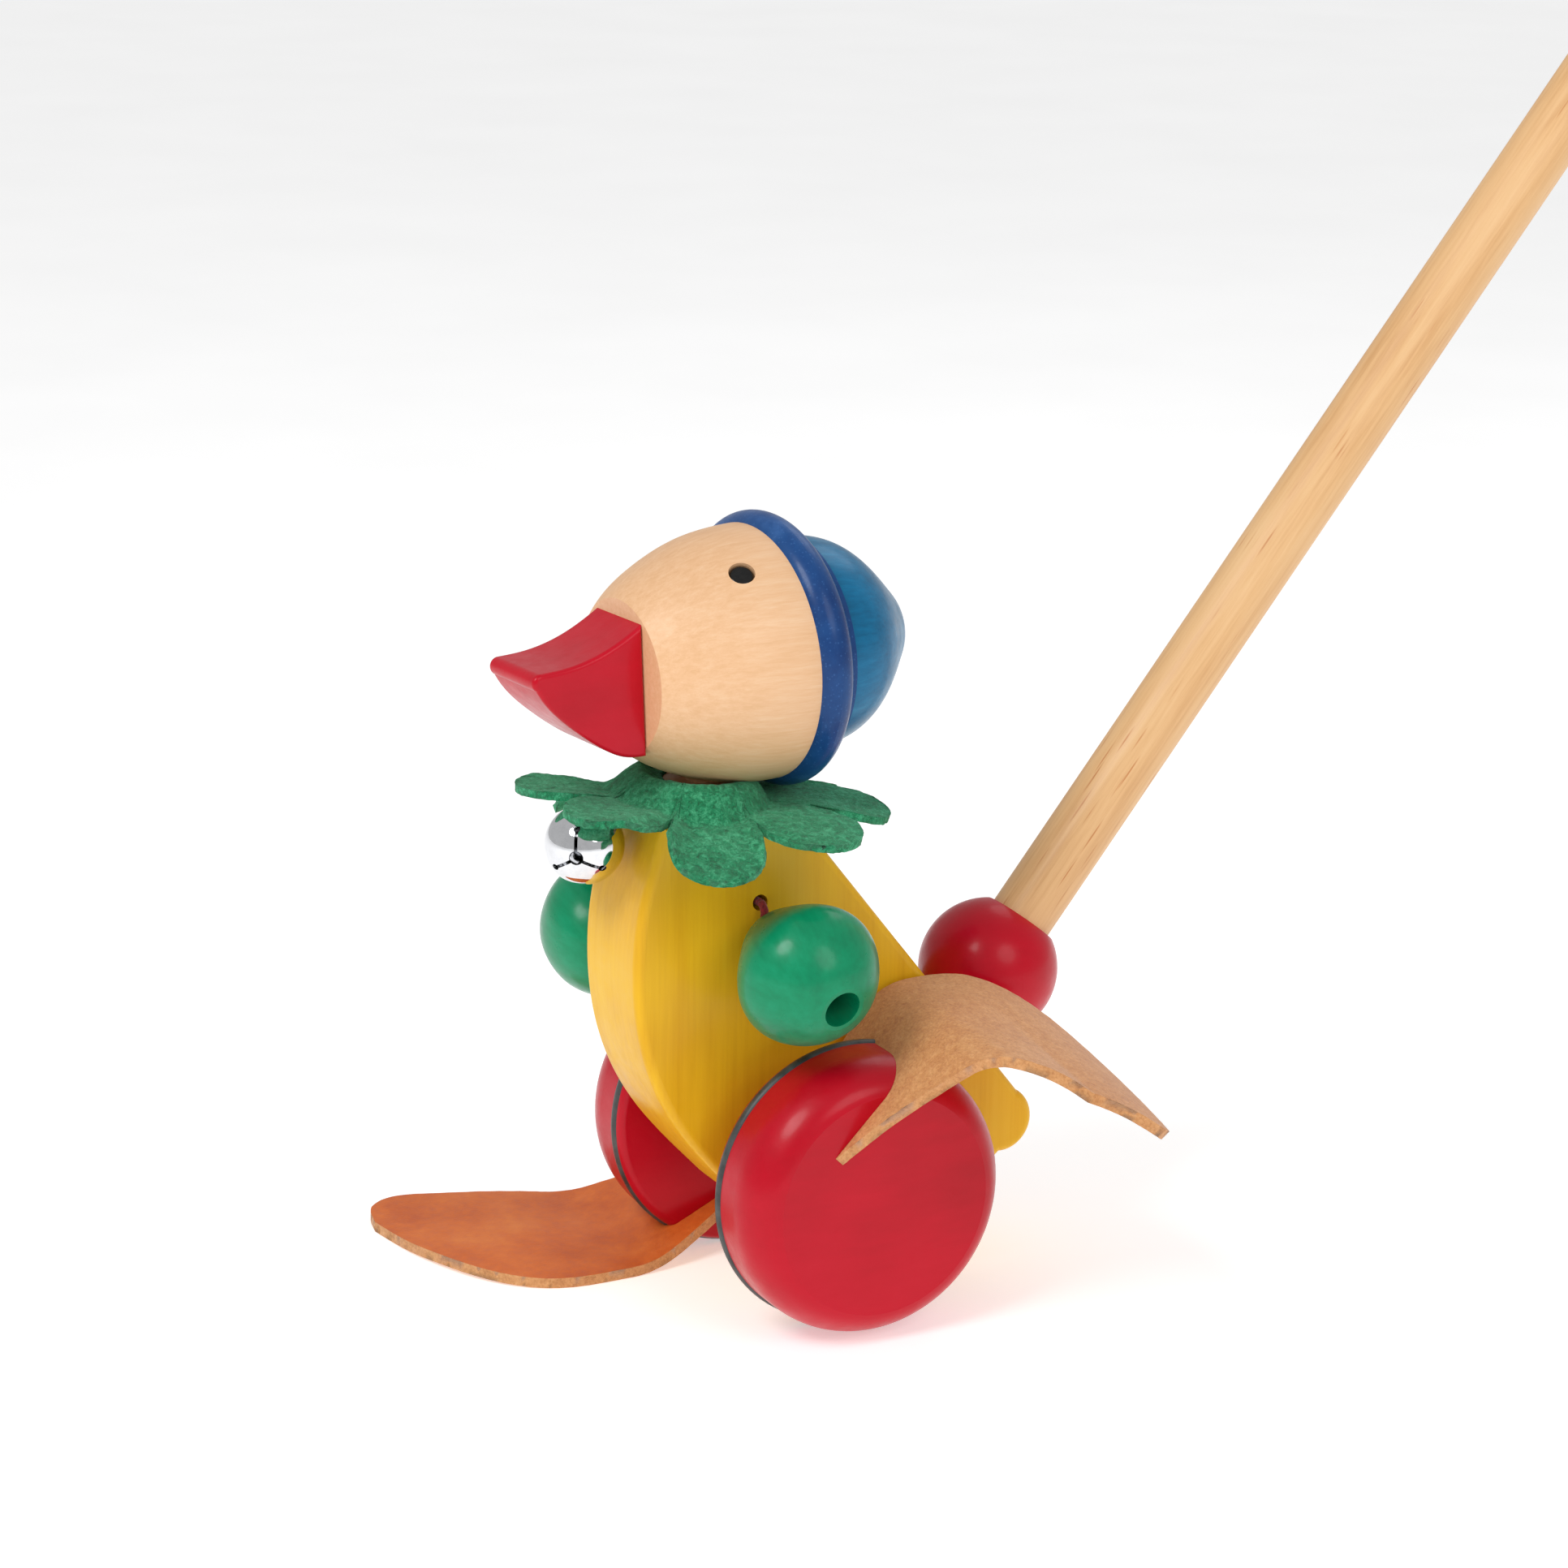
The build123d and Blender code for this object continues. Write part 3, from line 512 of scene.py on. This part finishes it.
def collar_point(ring, angle):
    best = sorted((abs((angle - turn + 180) % 360 - 180), k) for k, (turn, *_) in enumerate(LOBES))
    off, nearest = best[0]
    second = best[1][1]
    edge = lobe_edge(min(off, HALF_LOBE_TURN))
    notch = 1.0 if off < NOTCH_TURN else 1.0 - 0.20 * (off - NOTCH_TURN) / 1.1
    f = ring / RINGS
    r = COLLAR_HOLE_R + (edge * notch - COLLAR_HOLE_R) * f
    share = max(0.0, min(1.0, (off - BLEND_TURN) / (HALF_LOBE_TURN - BLEND_TURN)))
    share = 0.5 * share * share * (3 - 2 * share)
    height = (1 - share) * lobe_height(LOBES[nearest], r, off)
    height += share * lobe_height(LOBES[second], r, off)
    a = math.radians(angle - 90)
    spread = min(1.0, (1 + math.cos(math.radians(angle))) / 1.3)
    lip_width = COLLAR_LIP_WIDTH * spread
    width = COLLAR_BACK_WIDTH + (COLLAR_NECK_WIDTH - COLLAR_BACK_WIDTH) * spread
    climb = min(1.0, (r - COLLAR_HOLE_R) / max(lip_width, 0.01))
    fall = max(0.0, min(1.0, (r - COLLAR_HOLE_R - lip_width) / width))
    top = COLLAR_NECK_RISE + COLLAR_LIP * spread * climb * climb
    height += top * (1 - fall * fall * (3 - 2 * fall))
    wave = 0.5 * math.sin(angle * 0.11 + 1.3) * max(0.0, (r - 24) / 26)
    drop = max(0.0, -height)
    reach = r - 0.012 * drop * drop
    return NECK + Vector((reach * math.cos(a), reach * math.sin(a), height + wave + FELT / 2))


def make_collar(looks):
    """One felt flower with eight round lobes that drape from the neck."""
    points = [collar_point(i, j * 360 / SPOKES) * MM for i in range(RINGS + 1) for j in range(SPOKES)]
    faces = []
    for i in range(RINGS):
        for j in range(SPOKES):
            a, b = i * SPOKES + j, i * SPOKES + (j + 1) % SPOKES
            faces.append((a, a + SPOKES, b + SPOKES, b))
    collar = link_mesh("felt_collar", points, faces, [looks["felt"]])
    thick = collar.modifiers.new("thick", "SOLIDIFY")
    thick.thickness = FELT * MM
    thick.offset = 0
    edge = collar.modifiers.new("edge", "BEVEL")
    edge.width = 0.0006
    edge.segments = 2
    edge.limit_method = "ANGLE"
    edge.angle_limit = math.radians(50)
    settle(collar)
    roughen(collar, 0.0011, 0.00022, 3)
    roughen(collar, 0.004, 0.00025, 5)
    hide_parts("collar")
    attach(collar, "toy")


# --- wing cords and knots -----------------------------------------------------
CORD_R = 1.1
BRAID_PITCH = 0.0032
WING_HINGE_BACK = 22.1
CORD_END_AHEAD = 5.4
KNOT_AHEAD = 8.0
CORD_MOUTH = Vector((16.45, -18.7, 114.9))
WINGS = {
    "left": (1, Vector((39.5, -16.8, 101.7)), Vector((0.95, 0.10, -0.30)).normalized(), 18.9),
    "right": (-1, Vector((36.5, -38.5, 95.5)), Vector((0.586, -0.579, -0.567)).normalized(), 21.0),
}


def smooth_route(points):
    """The line of a NURBS spline with these control points, as Blender draws it."""
    curve = bpy.data.curves.new("route", "CURVE")
    curve.dimensions = "3D"
    curve.resolution_u = 12
    spline = curve.splines.new("NURBS")
    spline.points.add(len(points) - 1)
    for target, point in zip(spline.points, points):
        target.co = (*point, 1.0)
    spline.order_u = 3
    spline.use_endpoint_u = True
    holder = bpy.data.objects.new("route", curve)
    mesh = bpy.data.meshes.new_from_object(holder)
    line = [v.co.copy() for v in mesh.vertices]
    bpy.data.objects.remove(holder)
    bpy.data.curves.remove(curve)
    bpy.data.meshes.remove(mesh)
    return line


def even_line(line, step):
    """The same line in even steps."""
    out, left = [line[0]], step
    for a, b in zip(line, line[1:]):
        run = (b - a).length
        while run > 0 and left <= run:
            a = a + (b - a) * (left / run)
            out.append(a)
            run = (b - a).length
            left = step
        left -= run
    if (out[-1] - line[-1]).length > step * 0.3:
        out.append(line[-1])
    return out


def braided_tube(name, line, radius, material, closed=False):
    """A cord along a line, with the ridges of its braid in the mesh."""
    around = 24
    points, faces = [], []
    count = len(line)
    side = None
    travelled = 0.0
    for i, centre in enumerate(line):
        before = line[i - 1] if i or closed else line[0]
        after = line[(i + 1) % count] if i + 1 < count or closed else line[-1]
        along = (after - before).normalized()
        if side is None:
            side = along.orthogonal().normalized()
        side = (side - along * side.dot(along)).normalized()
        other = along.cross(side)
        travelled += (centre - line[i - 1]).length if i else 0.0
        for k in range(around):
            a = 2 * math.pi * k / around
            turn = 2 * math.pi * travelled / BRAID_PITCH
            weave = max(math.cos(3 * a + turn), math.cos(3 * a - turn))
            r = radius * (0.93 + 0.09 * weave)
            points.append(centre + side * r * math.cos(a) + other * r * math.sin(a))
    rings = count if closed else count - 1
    for i in range(rings):
        for k in range(around):
            a, b = i * around + k, i * around + (k + 1) % around
            c, d = (a + around) % (count * around), (b + around) % (count * around)
            faces.append((a, b, d, c))
    if not closed:
        faces.append(tuple(range(around))[::-1])
        faces.append(tuple(range((count - 1) * around, count * around)))
    return link_mesh(name, points, faces, [material])


def flip(v, side):
    return Vector((v.x * side, v.y, v.z))


def make_wing_cord(which, looks):
    side, centre, axis, corner_x = WINGS[which]
    hinge = centre - axis * WING_HINGE_BACK
    corner = Vector((corner_x, CORD_MOUTH.y, CORD_MOUTH.z - 0.3))
    route = [CORD_MOUTH, corner, hinge, centre + axis * CORD_END_AHEAD]
    line = even_line(smooth_route([flip(p, side) * MM for p in route]), 0.00022)
    cord = braided_tube(f"wing_cord_{which}", line, CORD_R * MM, looks["red_cord"])
    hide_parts(f"cord_bend_{which}", f"cord_tail_{which}")
    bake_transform(cord)
    knot = make_wing_knot(which, centre, axis, side, looks)


def make_wing_knot(which, centre, axis, side, looks):
    """An overhand knot drawn tight, sitting in the wing's counterbore."""
    out = flip(axis, side)
    a = out.orthogonal().normalized()
    b = out.cross(a)
    middle = flip(centre + axis * KNOT_AHEAD, side)
    line = []
    for i in range(150):
        t = 2 * math.pi * i / 150
        p = (a * (math.sin(t) + 2 * math.sin(2 * t)) + b * (math.cos(t) - 2 * math.cos(2 * t))) * 0.78
        line.append((middle + p - out * math.sin(3 * t) * 1.15) * MM)
    knot = braided_tube(f"wing_knot_{which}", line, CORD_R * MM, looks["red_cord"], closed=True)
    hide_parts(f"knot_{which}")
    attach(knot, f"wing_{which}_bead")
    return knot


# --- stage and light ----------------------------------------------------------
def make_stage():
    look = Look("pale_floor", Roughness=0.9, Emission_Color=(1, 1, 1, 1),
                Emission_Strength=0.42)
    soft = look.noise(look.place((1, 1, 1)), 6.0, 3.0)
    look.colour(look.ramp(soft, (0.3, (0.86, 0.86, 0.86, 1)), (0.7, (0.9, 0.9, 0.9, 1))))
    half = 14
    corners = [(-half, -half, 0), (half, -half, 0), (half, half, 0), (-half, half, 0)]
    floor = link_mesh("floor", corners, [(0, 1, 2, 3)], [look.material])


def make_lamp(name, azimuth, elevation, distance, size, power):
    data = bpy.data.lights.new(name, "AREA")
    data.shape = "DISK"
    data.size = size
    data.energy = power
    lamp = bpy.data.objects.new(name, data)
    a, e = math.radians(azimuth), math.radians(elevation)
    aim = Vector((0, 0, 0.11))
    back = Vector((math.sin(a) * math.cos(e), -math.cos(a) * math.cos(e), math.sin(e)))
    lamp.location = aim + back * distance
    lamp.rotation_euler = (-back).to_track_quat("-Z", "Y").to_euler()
    bpy.context.scene.collection.objects.link(lamp)


def make_light():
    world = bpy.data.worlds.new("studio")
    world.use_nodes = True
    world.node_tree.nodes["Background"].inputs["Color"].default_value = (1, 1, 1, 1)
    world.node_tree.nodes["Background"].inputs["Strength"].default_value = 0.5
    bpy.context.scene.world = world
    make_lamp("key", 20, 46, 1.5, 0.6, 9)
    make_lamp("fill", 100, 35, 1.7, 0.9, 5.5)
    make_lamp("rim", 215, 45, 1.6, 0.8, 2)
    bpy.context.scene.view_settings.view_transform = "Standard"


# --- the whole scene ----------------------------------------------------------
make_camera()
LOOKS = make_looks()
LOOKS["suede"] = leather_suede(
    "leather_suede", linear(190, 116, 60), linear(214, 145, 84), linear(234, 172, 112))
LOOKS["cut"] = leather_suede(
    "leather_cut", linear(176, 114, 66), linear(206, 146, 92), linear(224, 168, 114))
make_wing_cord("left", LOOKS)
make_wing_cord("right", LOOKS)
dress_cad_nodes(LOOKS)
make_foot("foot_left", 45.0, 1, [(12.0, 44), (58.0, 48)], 0.145, 0.4, 1, LOOKS)
make_foot("foot_right", 205.0, -1, [(13.0, 25), (54.0, 0)], 0.0, 0.9, 2, LOOKS)
make_collar(LOOKS)
make_stage()
make_light()
